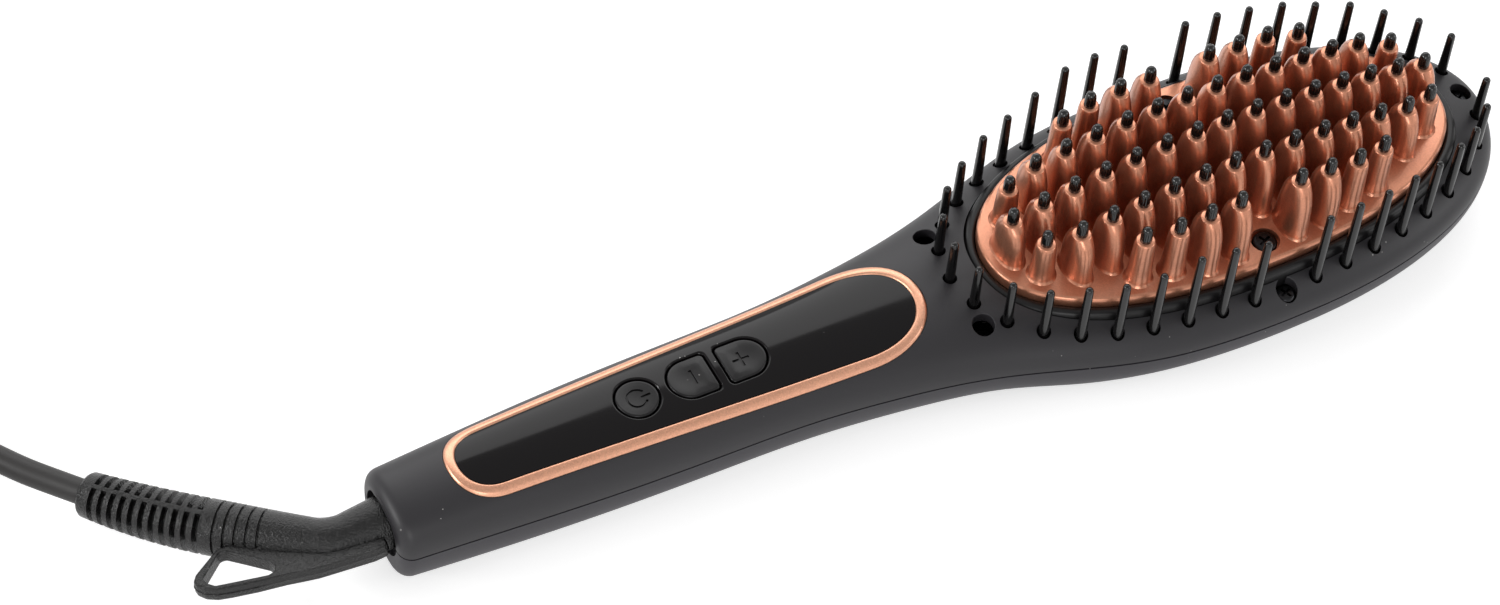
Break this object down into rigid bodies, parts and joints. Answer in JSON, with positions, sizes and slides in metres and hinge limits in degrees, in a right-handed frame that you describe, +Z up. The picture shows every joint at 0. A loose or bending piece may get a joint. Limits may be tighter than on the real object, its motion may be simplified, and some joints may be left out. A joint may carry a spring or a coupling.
{
  "type": "hair straightening brush",
  "caption": "Heated hair straightening brush with an arched comb plate, cool-tipped teeth, outer bristles, a key panel and a swivel mains cord.",
  "frame": {"origin": "on the surface that the brush lies on, under the middle of its casing", "axes": "+X along the brush to the toe of its head, +Y across it, +Z up through the teeth"},
  "size_m": [0.4443, 0.1456, 0.0455],
  "materials": {
    "casing": "soft-touch satin",
    "casing_base": "soft-touch satin",
    "rose_gold": "rose-gold satin, fine speckle",
    "panel_gloss": "polished black",
    "key_gloss": "polished black",
    "surround_black": "satin",
    "tip_gloss": "polished black",
    "bristle_black": "satin black",
    "ceramic": "matte ceramic",
    "inner_metal": "bare steel",
    "mica": "matte mica",
    "screw_dark": "blackened",
    "board_green": "solder mask",
    "part_black": "matte",
    "brass": "bare",
    "lead_white": "matte",
    "relief_black": "semi-gloss, fine grained",
    "cord_grey": "matte",
    "pin_brass": "nickel plated"
  },
  "bodies": {
    "brush": {"upper_casing": "casing", "lower_casing": "casing_base", "panel_trim_ring": "rose_gold", "control_panel": "panel_gloss", "plate_surround": "surround_black", "heating_plate": "rose_gold", "tooth_tips": "tip_gloss", "bristle_frame": "bristle_black", "bristles": "bristle_black", "heater_elements": "ceramic", "heater_clamp": "inner_metal", "clamp_screws": "inner_metal", "thermal_fuse": "inner_metal", "thermistor": "ceramic", "heat_shield": "mica", "plate_screws": "screw_dark", "casing_screws": "screw_dark", "board_screws": "inner_metal", "circuit_board": "board_green", "tact_switches": "part_black", "display_module": "part_black", "capacitor": "part_black", "triac": "part_black", "lead_block": "ceramic", "contact_springs": "brass", "heater_leads": "lead_white", "swivel_bush": "surround_black"},
    "power_button": {"power_button": "key_gloss"},
    "minus_button": {"minus_button": "key_gloss"},
    "plus_button": {"plus_button": "key_gloss"},
    "cord_swivel": {"slip_rings": "brass", "strain_relief": "relief_black", "cord_coil": "cord_grey", "cord": "cord_grey", "cord_tie": "relief_black", "plug": "relief_black", "plug_pins": "pin_brass"}
  },
  "joints": [
    {"name": "power_press", "type": "slide", "parent": "brush", "child": "power_button", "axis": [0, 0, -1], "range_m": [0, 0.0006], "stiffness_N_per_m": 900},
    {"name": "minus_press", "type": "slide", "parent": "brush", "child": "minus_button", "axis": [0, 0, -1], "range_m": [0, 0.0006], "stiffness_N_per_m": 900},
    {"name": "plus_press", "type": "slide", "parent": "brush", "child": "plus_button", "axis": [0, 0, -1], "range_m": [0, 0.0006], "stiffness_N_per_m": 900},
    {"name": "cord_swivel_turn", "type": "hinge", "parent": "brush", "child": "cord_swivel", "pos_m": [-0.134, 0, 0.013], "axis": [1, 0, 0], "continuous": true}
  ]
}
